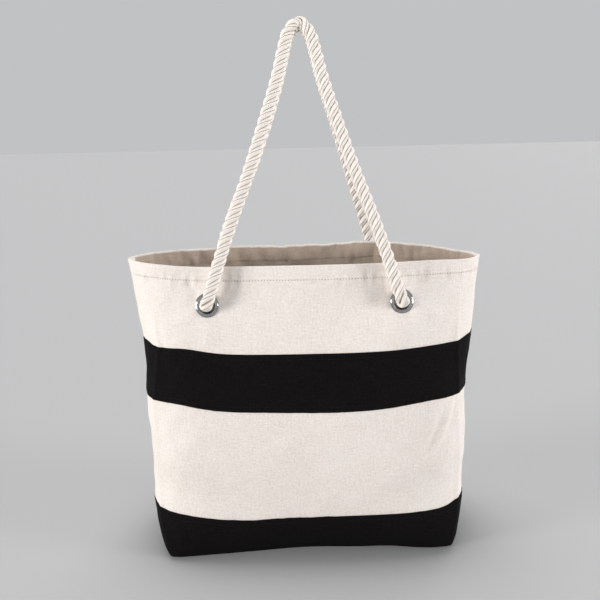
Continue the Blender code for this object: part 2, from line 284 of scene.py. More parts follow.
class Look:
    """A node material under construction, with short calls for the nodes it is made of."""

    def __init__(self, name, roughness, **sockets):
        self.material = bpy.data.materials.new(name)
        self.material.use_nodes = True
        self.tree = self.material.node_tree
        self.shader = self.tree.nodes["Principled BSDF"]
        self.shader.inputs["Roughness"].default_value = roughness
        for socket, value in sockets.items():
            self.shader.inputs[socket.replace("_", " ")].default_value = value

    def add(self, kind, *inputs, output=0, **settings):
        """A node of this kind; inputs are values or sockets for its inputs in order, None to skip one."""
        node = self.tree.nodes.new(kind)
        for setting, value in settings.items():
            setattr(node, setting, value)
        for index, value in enumerate(inputs):
            if isinstance(value, bpy.types.NodeSocket):
                self.tree.links.new(value, node.inputs[index])
            elif value is not None:
                node.inputs[index].default_value = value
        return node.outputs[output]

    def math(self, operation, *inputs):
        return self.add("ShaderNodeMath", *inputs, operation=operation)

    def noise(self, vector, scale, detail=3.0, roughness=0.55):
        return self.add("ShaderNodeTexNoise", vector, None, scale, detail, roughness)

    def stretched(self, vector, scale):
        return self.add("ShaderNodeMapping", vector, None, None, scale)

    def ramp(self, value, *stops):
        """A colour ramp; each stop is (position, colour), a colour being three numbers."""
        node = self.tree.nodes.new("ShaderNodeValToRGB")
        self.tree.links.new(value, node.inputs[0])
        elements = node.color_ramp.elements
        while len(elements) < len(stops):
            elements.new(0.5)
        for element, (position, colour) in zip(elements, stops):
            element.position = position
            element.color = (*colour, 1)
        return node.outputs[0]

    def mix(self, share, first, second, blend="MIX"):
        """Two colours mixed, each a socket or three numbers."""
        first, second = (
            colour if isinstance(colour, bpy.types.NodeSocket) else (*colour, 1) for colour in (first, second)
        )
        unused = [None] * 5
        return self.add(
            "ShaderNodeMix", share, *unused, first, second, output=2, data_type="RGBA", blend_type=blend
        )

    def uv(self):
        return self.add("ShaderNodeUVMap", uv_map="cloth")

    def split(self, vector):
        """The first two coordinates of a vector."""
        node = self.tree.nodes.new("ShaderNodeSeparateXYZ")
        self.tree.links.new(vector, node.inputs[0])
        return node.outputs[0], node.outputs[1]

    def colour(self, value):
        self.tree.links.new(value, self.shader.inputs["Base Color"])

    def roughness(self, value):
        self.tree.links.new(value, self.shader.inputs["Roughness"])

    def bump(self, height, strength, distance, under=None):
        return self.add("ShaderNodeBump", strength, distance, None, height, under)

    def normal(self, value):
        self.tree.links.new(value, self.shader.inputs["Normal"])


def weave_height(look, uv, thread):
    """Height of a plain weave: warp and weft threads that pass over each other in turn."""
    x, y = look.split(uv)
    waver = look.math("MULTIPLY", look.noise(uv, 90.0, 2.0), 1.1)
    across = look.math("MULTIPLY_ADD", x, math.pi / thread, waver)
    along = look.math("MULTIPLY_ADD", y, math.pi / thread, waver)
    warp = look.math("SINE", across)
    weft = look.math("SINE", along)
    over = look.math("MULTIPLY", warp, weft)
    warp_up = look.math("MULTIPLY", look.math("ABSOLUTE", warp), look.math("MULTIPLY_ADD", over, 0.5, 0.5))
    weft_up = look.math("MULTIPLY", look.math("ABSOLUTE", weft), look.math("MULTIPLY_ADD", over, -0.5, 0.5))
    return look.math("MAXIMUM", warp_up, weft_up)


def slub_streaks(look, uv):
    """Uneven threads: short thin streaks along both directions of the weave, from 0 to 1."""
    along = look.noise(look.stretched(uv, (620, 45, 1)), 1.0, 2.0)
    across = look.noise(look.stretched(uv, (45, 620, 1)), 1.0, 2.0)
    return look.math("MULTIPLY_ADD", along, 0.5, look.math("MULTIPLY", across, 0.5))


def canvas_look(name, dark, light, fleck, fleck_share, sheen, gloss=0.15, inside=(0.70, 0.62, 0.55)):
    """Woven canvas. Its inner face, laid out INSIDE_SHIFT further on, is tinted darker below the rim with the
    inside colour, as painted shade for the inside of the bag.
    """
    look = Look(name, 0.9, Sheen_Weight=sheen, Sheen_Roughness=0.5, Specular_IOR_Level=gloss)
    look.shader.inputs["Sheen Tint"].default_value = (*light, 1)
    uv = look.uv()
    weave = weave_height(look, uv, THREAD)
    streaks = slub_streaks(look, uv)
    mottle = look.noise(uv, 330.0, 3.0)
    cloud = look.noise(uv, 9.0, 4.0)
    grain = look.math("MULTIPLY_ADD", streaks, 0.40, look.math("MULTIPLY", mottle, 0.45))
    tone = look.math("MULTIPLY_ADD", cloud, 0.15, grain)
    base = look.ramp(tone, (0.36, dark), (0.60, light))
    # Painted shade: the colour is darkened where the weave is low, in the hollows between the threads
    hollow_shade = look.ramp(weave, (0.05, (0.80, 0.78, 0.76)), (0.55, (1, 1, 1)))
    base = look.mix(0.45, base, hollow_shade, "MULTIPLY")
    specks = look.noise(look.stretched(uv, (330, 520, 1)), 1.0, 1.0)
    spots = look.ramp(specks, (0.70, (0, 0, 0)), (0.78, (1, 1, 1)))
    share = look.math("MULTIPLY", spots, fleck_share)
    flecked = look.mix(share, base, fleck)
    # Painted shade: below the rim the inner face is multiplied by the inside colour, standing in for the
    # shade inside the bag
    x, y = look.split(uv)
    is_inner = look.math("GREATER_THAN", x, INSIDE_SHIFT / 2)
    below_rim = look.math("LESS_THAN", y, INSIDE_RISE + BAG_HEIGHT - RIM_ROLL)
    inside_shade_mask = look.math("MULTIPLY", is_inner, below_rim)
    look.colour(look.mix(inside_shade_mask, flecked, look.mix(1.0, flecked, inside, "MULTIPLY")))
    look.roughness(look.math("MULTIPLY_ADD", weave, -0.12, 0.95))
    fuzz = look.noise(uv, 2600.0, 2.0)
    fine = look.bump(weave, 0.55, 0.00022)
    look.normal(look.bump(fuzz, 0.25, 0.00012, fine))
    return look.material


def rope_look(name, dark, light, groove):
    """Twisted cotton: fine yarns that run along each strand, and shade in the grooves between strands."""
    look = Look(name, 0.85, Sheen_Weight=0.2, Sheen_Roughness=0.45, Specular_IOR_Level=0.2)
    look.shader.inputs["Sheen Tint"].default_value = (*light, 1)
    uv = look.uv()
    x, y = look.split(uv)
    round_strand = look.math("MULTIPLY", x, 2 * math.pi)
    wander = look.math("MULTIPLY", look.noise(look.stretched(uv, (3, 120, 1)), 1.0, 2.0), 1.6)
    turn = look.math("MULTIPLY_ADD", y, -2 * math.pi / YARN_LAY, wander)
    yarns = look.math("MULTIPLY_ADD", x, 2 * math.pi * YARNS, turn)
    ridge = look.math("MULTIPLY_ADD", look.math("SINE", yarns), 0.5, 0.5)
    fibre = look.noise(look.stretched(uv, (70, 260, 1)), 1.0, 3.0)
    tone = look.math("MULTIPLY_ADD", ridge, 0.25, look.math("MULTIPLY", fibre, 0.75))
    cotton = look.ramp(tone, (0.15, dark), (0.60, light))
    facing = look.math("COSINE", round_strand)
    shade = look.ramp(look.math("MULTIPLY_ADD", facing, 0.5, 0.5), (0.48, groove), (0.70, (1, 1, 1)))
    look.colour(look.mix(1.0, cotton, shade, "MULTIPLY"))
    fuzz = look.noise(look.stretched(uv, (60, 1800, 1)), 1.0, 2.0)
    fine = look.bump(ridge, 0.5, 0.00035)
    look.normal(look.bump(fuzz, 0.4, 0.00030, fine))
    return look.material


def thread_look(name, dark, light, roughness=0.6, gloss=0.35):
    look = Look(name, roughness, Specular_IOR_Level=gloss)
    place = look.add("ShaderNodeTexCoord", output=3)
    grain = look.noise(place, 900.0, 2.0)
    look.colour(look.ramp(grain, (0.3, dark), (0.7, light)))
    look.normal(look.bump(grain, 0.3, 0.0001))
    return look.material


def nickel_look():
    """Polished nickel with faint polishing marks and a little dulling."""
    look = Look("polished_nickel", 0.12, Metallic=1.0)
    place = look.add("ShaderNodeTexCoord", output=3)
    dulling = look.noise(place, 160.0, 4.0)
    look.colour(look.ramp(dulling, (0.3, (0.34, 0.35, 0.36)), (0.7, (0.46, 0.47, 0.48))))
    look.roughness(look.ramp(dulling, (0.35, (0.06, 0.06, 0.06)), (0.75, (0.16, 0.16, 0.16))))
    marks = look.noise(look.stretched(place, (40, 40, 900)), 1.0, 2.0)
    look.normal(look.bump(marks, 0.08, 0.00005))
    return look.material


def make_looks():
    return {
        "cream": canvas_look(
            "cream_canvas", (0.690, 0.625, 0.565), (0.855, 0.797, 0.750), (0.42, 0.31, 0.22), 0.60, 0.10
        ),
        "black": canvas_look(
            "black_canvas", (0.0016, 0.0012, 0.0014), (0.0066, 0.0054, 0.0058), (0.030, 0.026, 0.026),
            0.35, 0.0, 0.08,
        ),
        "rope": rope_look("cotton_rope", (0.69, 0.63, 0.57), (0.83, 0.78, 0.73), (0.50, 0.44, 0.38)),
        "tape": canvas_look(
            "seam_tape_cotton", (0.66, 0.59, 0.52), (0.78, 0.72, 0.66), (0.5, 0.4, 0.3), 0.2, 0.10
        ),
        "cream_thread": thread_look("cream_thread", (0.78, 0.72, 0.66), (0.90, 0.85, 0.80)),
        # Painted shade: the dark colour of the needle pits stands in for the shade in the holes
        "pit_shade": thread_look("needle_pit_shade", (0.10, 0.075, 0.055), (0.20, 0.155, 0.120)),
        "black_thread": thread_look("black_thread", (0.004, 0.004, 0.004), (0.007, 0.006, 0.006), 0.9, 0.15),
        "twine": thread_look("waxed_twine", (0.52, 0.42, 0.30), (0.72, 0.62, 0.48)),
        "nickel": nickel_look(),
    }


# Meshes


def face_outwards(mesh):
    """Turns every face of a closed mesh outwards."""
    work = bmesh.new()
    work.from_mesh(mesh)
    bmesh.ops.recalc_face_normals(work, faces=work.faces)
    work.to_mesh(mesh)
    work.free()


def add_piece(name, points, faces, look, replaces=(), uv=None, body="bag"):
    """A closed, smooth piece from its points and faces, riding on a body unless body is None."""
    mesh = bpy.data.meshes.new(name)
    mesh.vertices.add(len(points))
    mesh.vertices.foreach_set("co", np.asarray(points, np.float32).ravel())
    sizes = [len(face) for face in faces]
    mesh.loops.add(sum(sizes))
    corners = np.concatenate([np.asarray(face) for face in faces]).astype(np.int32)
    mesh.loops.foreach_set("vertex_index", corners)
    mesh.polygons.add(len(faces))
    mesh.polygons.foreach_set("loop_start", np.concatenate([[0], np.cumsum(sizes)[:-1]]).astype(np.int32))
    mesh.update(calc_edges=True)
    mesh.validate()
    if uv is not None:
        layer = mesh.uv_layers.new(name="cloth")
        kept = np.empty(len(mesh.loops), np.int32)
        mesh.loops.foreach_get("vertex_index", kept)
        layer.data.foreach_set("uv", np.asarray(uv, np.float32)[kept].ravel())
    mesh.materials.append(look)
    mesh.shade_smooth()
    face_outwards(mesh)
    piece = add_object(name, mesh)
    if body:
        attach(piece, body)
    if replaces:
        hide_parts(*replaces)
    return piece


# The canvas body: one closed loop of cloth round the bag, read at any place and depth


def outline_at(height):
    """(half width, half depth, roundness in X, in Y) at a height, on a smooth curve through OUTLINES."""
    heights = [row[0] for row in OUTLINES]
    last = len(OUTLINES) - 2
    step = min(max(int(np.searchsorted(heights, height, side="right")) - 1, 0), last)
    low = np.array(OUTLINES[step])
    high = np.array(OUTLINES[step + 1])
    before = np.array(OUTLINES[max(step - 1, 0)])
    after = np.array(OUTLINES[min(step + 2, last + 1)])
    span = high[0] - low[0]
    blend = (height - low[0]) / span
    slope_low = (high - before) / (high[0] - before[0]) * span
    slope_high = (after - low) / (after[0] - low[0]) * span
    row = (
        low * (2 * blend**3 - 3 * blend**2 + 1)
        + slope_low * (blend**3 - 2 * blend**2 + blend)
        + high * (3 * blend**2 - 2 * blend**3)
        + slope_high * (blend**3 - blend**2)
    )
    return row[1:]


def wall_y(x, height, side):
    """Y of the body's outer face at a place on the front or back."""
    half_width, half_depth, round_x, round_y = outline_at(height)
    return side * half_depth * (1 - (abs(x) / half_width) ** round_x) ** (1 / round_y)


def soft_waves(x, y, shortest, longest, count, seed):
    """Smooth random waves over a plane, about -1 to 1, the same every time for one seed."""
    random = np.random.default_rng(seed)
    total = np.zeros(np.broadcast(x, y).shape)
    for _ in range(count):
        length = shortest * (longest / shortest) ** random.random()
        angle = random.random() * math.pi
        phase = random.random() * 2 * math.pi
        total = total + np.cos((x * math.cos(angle) + y * math.sin(angle)) * 2 * math.pi / length + phase)
    return total / math.sqrt(count)


def near(distance, width):
    """1 at distance 0, falling smoothly to nothing a few widths away."""
    return np.exp(-((distance / width) ** 2))


def smoothstep(value, low, high):
    share = np.clip((value - low) / (high - low), 0, 1)
    return share * share * (3 - 2 * share)


class Wall:
    """The bag's canvas wall as a loop. A share of 0 is the right side seam, 1 the left side seam by way
    of the front, and 2 the right seam again by way of the back."""

    COLUMNS = 280
    ROW = 0.0025

    def __init__(self):
        self.heights = np.linspace(0, BAG_HEIGHT, round(BAG_HEIGHT / self.ROW) + 1)
        rings = [self.ring(height) for height in self.heights]
        self.base = np.array([points for points, _ in rings])
        self.lengths = np.array([length for _, length in rings])
        self.normals = self.outward(self.base)
        self.base = self.base + self.normals * self.wrinkles()[:, :, None]
        self.base[:, :, 1] -= self.foot_reach()
        self.base[:, :, 2] += self.lifts()
        self.base[:, :, 0] += np.interp(self.heights, *zip(*LEAN))[:, None]
        self.normals = self.outward(self.base)

    def ring(self, height):
        """Points round the loop at even steps along each half, and the length of a half."""
        half_width, half_depth, round_x, round_y = outline_at(height)
        angle = np.linspace(0, math.pi, 1441)
        cosine = np.cos(angle)
        x = half_width * np.sign(cosine) * np.abs(cosine) ** (2 / round_x)
        y = half_depth * np.abs(np.sin(angle)) ** (2 / round_y)
        along = np.concatenate([[0], np.cumsum(np.hypot(np.diff(x), np.diff(y)))])
        wanted = np.linspace(0, along[-1], self.COLUMNS + 1)[:-1]
        x = np.interp(wanted, along, x)
        y = np.interp(wanted, along, y)
        front = np.column_stack([x, -y, np.full(len(x), height)])
        back = np.column_stack([-x, y, np.full(len(x), height)])
        return np.concatenate([front, back]), along[-1]

    def length_between(self, low, high):
        """The mean length of half the loop between two heights."""
        return float(np.interp(np.linspace(low, high, 9), self.heights, self.lengths).mean())

    def outward(self, points):
        across = np.roll(points, -1, axis=1) - np.roll(points, 1, axis=1)
        up = np.gradient(points, axis=0)
        return unit(np.cross(up, across))

    def on_each_side(self, front, back, shape):
        """The sum of a shape over a table for the front and another for the back, over the whole loop."""
        z = self.heights[:, None]
        x = self.base[:, :, 0]
        is_front = (np.arange(2 * self.COLUMNS) < self.COLUMNS)[None, :]
        total = np.zeros(x.shape)
        for table, chosen in ((front, is_front), (back, ~is_front)):
            for row in table:
                total += chosen * shape(x, z, *row)
        return total

    def lifts(self):
        """How much higher each point of the wall runs than it was cut."""

        def lift(x, z, place, height, amount, spread, spread_up):
            return amount * near(x - place, spread) * near(z - height, spread_up)

        return self.on_each_side(FRONT_LIFTS, BACK_LIFTS, lift)

    def foot_reach(self):
        """How far forward the front's foot is drawn, most at the floor."""
        fade = 1 - smoothstep(self.heights[:, None], 0.0, FOOT_REACH)

        def reach(x, z, place, amount, spread):
            return amount * near(x - place, spread) * fade

        depth = smoothstep(-self.base[:, :, 1], 0.0, 0.06)
        return self.on_each_side(FRONT_FOOT, (), reach) * depth

    def wrinkles(self):
        """How far each point of the wall stands proud of the plain outline."""
        z = self.heights[:, None]
        x = self.base[:, :, 0]
        around = np.arange(2 * self.COLUMNS)[None, :] / self.COLUMNS * HALF_LENGTH
        free = smoothstep(z, 0.0, 0.05) * (1 - 0.75 * smoothstep(z, 0.36, BAG_HEIGHT))
        broad = soft_waves(around, z, 0.10, 0.22, 14, 3) * 0.0013 * free
        fine = soft_waves(around, z * 1.2, 0.030, 0.065, 18, 8) * 0.00036 * free
        total = broad + fine

        for seam in SEAM_HEIGHTS.values():
            gathers = soft_waves(around, z * 0.4, 0.010, 0.020, 10, int(seam * 1000))
            total = total + gathers * 0.00026 * near(z - seam, 0.007)
        hem = BAG_HEIGHT - HEM_STITCH_DROPS[1]
        puckers = soft_waves(around, z * 0.25, 0.008, 0.017, 12, 21)
        total = total + puckers * 0.00075 * near(z - hem, 0.0085)

        # The back rim is drawn up more than the front, in short upright ripples
        is_back = (np.arange(2 * self.COLUMNS) >= self.COLUMNS)[None, :]
        ripples = soft_waves(around, z * 0.45, 0.014, 0.034, 12, 33)
        total = total + is_back * ripples * 0.0011 * smoothstep(z, 0.370, 0.402)

        # A soft upright crease where the front and back turn into the sides
        edge = np.interp(z, (0.0, 0.2275, 0.305, BAG_HEIGHT), (0.95, 0.92, 0.87, 0.87))
        edge = edge * np.array([outline_at(height)[0] for height in self.heights])[:, None]
        crease = near(np.abs(x) - edge, 0.0035) * smoothstep(z, 0.01, 0.05) * (1 - smoothstep(z, 0.31, 0.37))
        total = total + 0.0017 * crease

        def fold(x, z, place, height, direction, length, width, proud):
            angle = math.radians(direction)
            along = (x - place) * math.cos(angle) + (z - height) * math.sin(angle)
            across = (z - height) * math.cos(angle) - (x - place) * math.sin(angle)
            bow = 0.12 * along**2 / length
            return proud * near(along, length) * near(across - bow, width)

        total = total + self.on_each_side(FRONT_FOLDS, BACK_FOLDS, fold)
        for end in ENDS.values():
            reach = np.hypot(x - end * HANDLE_SPREAD, z - GROMMET_HEIGHT)
            total = total * smoothstep(reach, 0.010, 0.024)
        return total

    def at(self, shares, heights, depths):
        """Points at these shares and heights and this far under the outer face, all arrays alike."""
        shares, heights, depths = np.broadcast_arrays(shares, heights, depths)
        column = (shares % 2) * self.COLUMNS
        row = np.clip(heights / self.heights[-1], 0, 1) * (len(self.heights) - 1)
        left = np.floor(column).astype(int) % (2 * self.COLUMNS)
        right = (left + 1) % (2 * self.COLUMNS)
        low = np.minimum(np.floor(row).astype(int), len(self.heights) - 2)
        across = (column - np.floor(column))[..., None]
        up = (row - low)[..., None]

        def read(field):
            lower = field[low, left] * (1 - across) + field[low, right] * across
            upper = field[low + 1, left] * (1 - across) + field[low + 1, right] * across
            return lower * (1 - up) + upper * up

        points = read(self.base) - read(self.normals) * depths[..., None]
        points[..., 2] += np.where(heights > self.heights[-1], heights - self.heights[-1], 0)
        return points


def unit(vectors):
    """The same vectors, one to a row, each made one metre long."""
    return vectors / np.linalg.norm(vectors, axis=-1, keepdims=True)


def distances(line):
    """How far along a line each of its points lies."""
    return np.concatenate([[0], np.cumsum(np.linalg.norm(np.diff(line, axis=0), axis=1))])


def ring_faces(index):
    """Four-cornered faces between rings of points; index holds one ring in each row."""
    following = np.roll(index, -1, axis=1)
    return np.stack([index[:-1], following[:-1], following[1:], index[1:]], axis=-1).reshape(-1, 4)


def edge_steps(low, high, step, edge):
    """Places from low to high at about even steps, closer together within a rounded edge."""
    rounding = [0, 0.12 * edge, 0.4 * edge, edge]
    middle = np.linspace(low + edge, high - edge, max(2, round((high - low) / step)) + 1)
    return np.concatenate([low + np.array(rounding[:-1]), middle, high - np.array(rounding[-2::-1])])


def edge_taper(places, first_edge, last_edge):
    """1 in the middle of a strip, falling on a quarter circle to a fine edge at both ends."""
    share = np.minimum((places - places[0]) / first_edge, (places[-1] - places) / last_edge)
    share = np.clip(share, 0, 1)
    return np.maximum(np.sqrt(1 - (1 - share) ** 2), 0.12)


def cloth_strip(
    name, wall, shares, heights, outer, inner, look, slot, replaces=(), edges=(PLY / 2, PLY / 2), ridge=0.0,
    bulk=0.0,
):
    """Cloth between two depths over a range of shares and heights, with closed, rounded edges.

    outer and inner are the depths of its two faces, as numbers or as one depth for each height. ridge is
    how far the outer face stands proud along the two ends, where a seam allowance lies under it. bulk is
    how much thicker the cloth is at those ends, where the allowance is folded in: one value per height.
    """
    rows, columns = len(heights), len(shares)
    grid_height, grid_share = np.meshgrid(heights, shares, indexing="ij")
    outer = np.broadcast_to(np.asarray(outer, float), (rows,))[:, None]
    to_seam = np.minimum(shares - shares[0], shares[-1] - shares) * HALF_LENGTH
    outer = outer - ridge * (1 - smoothstep(to_seam, 0.0065, 0.0085))[None, :]
    inner = np.broadcast_to(np.asarray(inner, float), (rows,))[:, None]
    folded_in = np.broadcast_to(np.asarray(bulk, float), (rows,))[:, None]
    folded_in = folded_in * (1 - smoothstep(to_seam, 0.0010, 0.0120))[None, :]
    inner = inner + folded_in
    outer = outer - 0.12 * folded_in + 0.0006 * (1 - smoothstep(to_seam, 0.0, 0.0014))[None, :]
    taper = np.minimum(
        edge_taper(np.asarray(heights), *edges)[:, None],
        edge_taper(np.asarray(shares) * HALF_LENGTH, PLY / 2, PLY / 2)[None, :],
    )
    middle = (outer + inner) / 2
    half = (inner - outer) / 2 * taper
    points = np.concatenate([
        wall.at(grid_share, grid_height, middle - half).reshape(-1, 3),
        wall.at(grid_share, grid_height, middle + half).reshape(-1, 3),
    ])
    plane = np.stack([grid_share * HALF_LENGTH, grid_height], axis=-1).reshape(-1, 2)
    uv = np.concatenate([plane, plane + (INSIDE_SHIFT, INSIDE_RISE)])
    index = np.arange(rows * columns).reshape(rows, columns)
    front = np.stack([index[:-1, :-1], index[:-1, 1:], index[1:, 1:], index[1:, :-1]], axis=-1).reshape(-1, 4)
    count = rows * columns
    faces = [front, front[:, ::-1] + count]
    for line in (index[0, :], index[-1, :], index[:, 0], index[:, -1]):
        faces.append(np.stack([line[:-1], line[1:], line[1:] + count, line[:-1] + count], axis=-1))
    return add_piece(name, points, np.concatenate(faces), look, replaces, uv)


def cut_round_holes(piece, places, radius):
    """Cuts straight round holes along the Z axis of each place."""
    for place in places:
        mesh = bpy.data.meshes.new("hole")
        work = bmesh.new()
        bmesh.ops.create_cone(work, cap_ends=True, segments=64, radius1=radius, radius2=radius, depth=0.014)
        work.to_mesh(mesh)
        work.free()
        cutter = add_object("hole", mesh)
        cutter.matrix_world = place
        cut = piece.modifiers.new("hole", "BOOLEAN")
        cut.object = cutter
        cut.solver = "EXACT"
        bpy.context.view_layer.update()
        evaluated = piece.evaluated_get(bpy.context.evaluated_depsgraph_get())
        result = bpy.data.meshes.new_from_object(evaluated)
        piece.modifiers.clear()
        piece.data = result
        bpy.data.objects.remove(cutter)


def lapped(heights, edge, depth):
    """Depth that cloth goes down by where it slips under the band whose edge is at this height."""
    return depth * (1 - smoothstep(np.abs(heights - edge), 0.0035, 0.0060))


def raised(heights, edge):
    """How far a band stands proud beside its edge, where the cloth is folded under."""
    return 0.00025 * (1 - smoothstep(np.abs(heights - edge), 0.0080, 0.0130))


def side_seams(side):
    """The shares at which the front or the back begins and ends."""
    left = 1 - LEFT_SEAM_SHIFT
    return (0, left) if side < 0 else (left, 2)


def front_or_back_shares(side):
    start, end = side_seams(side)
    gap = 0.00008 / HALF_LENGTH
    return edge_steps(start + gap, end - gap, 1 / Wall.COLUMNS, PLY / 2 / HALF_LENGTH)


def seam_dip(heights, drop):
    """Depth of the furrow that a row of stitches this far below the rim pulls into the cloth."""
    return near(heights - (BAG_HEIGHT - drop), 0.0011)


def add_panels(wall, looks, side_name, side):
    """The four strips of canvas and the hem of the front or back."""
    shares = front_or_back_shares(side)
    base, lower, upper = (SEAM_HEIGHTS[name] for name in ("base", "lower", "upper"))
    edge = PLY / 2
    ridge = SEAM_RIDGE if side < 0 else 0.0

    def strip(kind, colour, heights, outer, inner, **extras):
        return cloth_strip(
            f"{side_name}_{kind}_cloth", wall, shares, heights, outer, inner,
            looks[colour], f"{colour}_canvas", [f"{side_name}_{kind}"], **extras,
        )

    heights = edge_steps(0.0005, base, Wall.ROW, edge)
    turned_under = 0.0012 * (1 - np.sqrt(1 - np.clip(1 - heights / 0.0016, 0, 1) ** 2))
    outer = BAND_DEPTH - raised(heights, base) + turned_under
    inner = 0.0007 + turned_under
    base_band = strip("base_band", "black", heights, outer, inner, ridge=ridge)

    heights = edge_steps(base - LAP, lower + LAP, Wall.ROW, edge)
    depth = CREAM_DEPTH + lapped(heights, base - LAP, 0.0005) + lapped(heights, lower + LAP, 0.0005)
    middle = strip("middle_panel", "cream", heights, depth, depth + PLY, ridge=ridge)

    heights = edge_steps(lower, upper, Wall.ROW, edge)
    outer = BAND_DEPTH - raised(heights, lower) - raised(heights, upper)
    upper_band = strip("upper_band", "black", heights, outer, 0.0007, ridge=ridge)

    rim_half = 0.0013
    hem_top = BAG_HEIGHT - 0.0045
    hem_edge = BAG_HEIGHT - HEM_DEPTH
    heights = np.concatenate([
        edge_steps(upper - LAP, hem_edge, Wall.ROW, edge)[:-3],
        edge_steps(hem_edge, BAG_HEIGHT, 0.0006, rim_half),
    ])
    depth = CREAM_DEPTH + lapped(heights, upper - LAP, 0.0005)
    first_row, second_row = HEM_STITCH_DROPS
    folded = smoothstep(heights, BAG_HEIGHT - second_row - 0.0016, BAG_HEIGHT - second_row + 0.0006)
    dips = 0.00045 * seam_dip(heights, first_row) + 0.00075 * seam_dip(heights, second_row)
    outer = depth - 0.00075 * folded + dips
    bead = smoothstep(heights, hem_top - 0.0006, hem_top + 0.0004)
    bulk = RIM_BULK * smoothstep(heights, hem_top - 0.0010, hem_top + 0.0002)
    top = strip(
        "top_panel", "cream", heights, outer, depth + PLY + 0.0014 * bead,
        edges=(edge, rim_half), ridge=ridge, bulk=bulk,
    )
    cut_round_holes(top, [grommet_place(side, end) for end in ENDS.values()], BORE_RADIUS + 0.0013)

    heights = edge_steps(BAG_HEIGHT - HEM_DEPTH, hem_top + 0.0010, Wall.ROW, edge)
    hem = strip("hem", "cream", heights, 0.00135, 0.0024, bulk=RIM_BULK)
    seams = 2 * SEAM_ALLOWANCE
    for cloth, low, high in ((base_band, 0, base), (middle, base, lower), (upper_band, lower, upper)):
        wall.length_between(low, high) + seams
    top_length = wall.length_between(upper, BAG_HEIGHT)


def add_bottom(wall, looks):
    """The flat cloth bottom, inside the foot of the base bands."""
    rings = []
    foot = wall.at(np.arange(0, 2, 1 / Wall.COLUMNS), 0.0, 0.0009)[:, :2]
    count = len(foot)
    scales = (1.0, 0.997, 0.985, 0.95, 0.9, 0.8, 0.65, 0.45, 0.22)
    for top in (False, True):
        for scale in scales:
            flat = foot * scale
            lift = 0.0014 + 0.0006 * soft_waves(flat[:, 0], flat[:, 1], 0.05, 0.12, 10, 5) * (1 - scale) * 3
            height = lift if top else np.full(count, 0.0002)
            if scale == 1.0:
                height = np.full(count, 0.0040 if top else 0.0004)
            rings.append(np.column_stack([flat, height]))
    layer = len(scales) * count
    points = np.concatenate([*rings, [(0, 0, 0.0002), (0, 0, 0.0014)]])
    index = np.arange(layer).reshape(len(scales), count)
    sheet = ring_faces(index)
    faces = [tuple(face) for face in sheet]
    faces += [tuple(face[::-1] + layer) for face in sheet]
    for column in range(count):
        beside = (column + 1) % count
        faces.append((column, beside, beside + layer, column + layer))
        faces.append((index[-1, column], index[-1, beside], 2 * layer))
        faces.append((index[-1, beside] + layer, index[-1, column] + layer, 2 * layer + 1))
    piece = add_piece(
        "bottom_panel_cloth", points, faces, looks["black"], ["bottom_panel"], points[:, :2]
    )


# Stitching


def stitch_template():
    """One stitch along X, arched so that both ends go down into the cloth: rings of points and faces."""
    sides = 6
    along = np.array([-0.5, -0.42, -0.22, 0.0, 0.22, 0.42, 0.5])
    swell = np.array([0.35, 0.85, 1.0, 1.0, 1.0, 0.85, 0.35])
    points = []
    for place, size in zip(along, swell):
        for side in range(sides):
            angle = 2 * math.pi * side / sides
            points.append((
                place * STITCH_LENGTH,
                size * STITCH_RADIUS * math.cos(angle) * 1.15,
                size * STITCH_RADIUS * math.sin(angle) - (2 * place) ** 4 * STITCH_RADIUS * 1.3,
            ))
    faces = []
    for ring in range(len(along) - 1):
        for side in range(sides):
            beside = (side + 1) % sides
            low, high = ring * sides, (ring + 1) * sides
            faces.append((low + side, high + side, high + beside, low + beside))
    faces.append(tuple(range(sides)))
    faces.append(tuple(range(len(along) * sides - 1, (len(along) - 1) * sides - 1, -1)))
    return np.array(points), faces


def row_across(wall, start, end, height, depth):
    """Places for a row of stitches along the loop, from one share to another at a height."""
    length = float(np.interp(height, wall.heights, wall.lengths))
    count = int((end - start) * length / STITCH_PITCH)
    shares = start + (np.arange(count) + 0.5) * (end - start) / count
    return shares, np.full(count, height), np.full(count, depth), False


def row_up(low, high, share, depth):
    """Places for a row of stitches straight up the wall at a share."""
    count = int((high - low) / STITCH_PITCH)
    heights = low + (np.arange(count) + 0.5) * (high - low) / count
    return np.full(count, share), heights, np.full(count, depth), True


def add_stitching(name, wall, rows, look):
    template, template_faces = stitch_template()
    points = []
    for shares, heights, depths, upwards in rows:
        centre = wall.at(shares, heights, depths)
        aside, up = (0, 0.001) if upwards else (0.002, 0)
        ahead = wall.at(shares + aside, heights + up, depths)
        along = unit(ahead - wall.at(shares - aside, heights - up, depths))
        out = unit(wall.at(shares, heights, depths - 0.001) - centre)
        beside = np.cross(out, along)
        along = unit(along + 0.10 * beside)
        made = (
            centre[:, None]
            + template[None, :, 0:1] * along[:, None]
            + template[None, :, 1:2] * beside[:, None]
            + template[None, :, 2:3] * out[:, None]
        )
        points.append(made.reshape(-1, 3))
    points = np.concatenate(points)
    copies = len(points) // len(template)
    faces = []
    for copy in range(copies):
        offset = copy * len(template)
        faces.extend(tuple(corner + offset for corner in face) for face in template_faces)
    add_piece(name, points, faces, look)


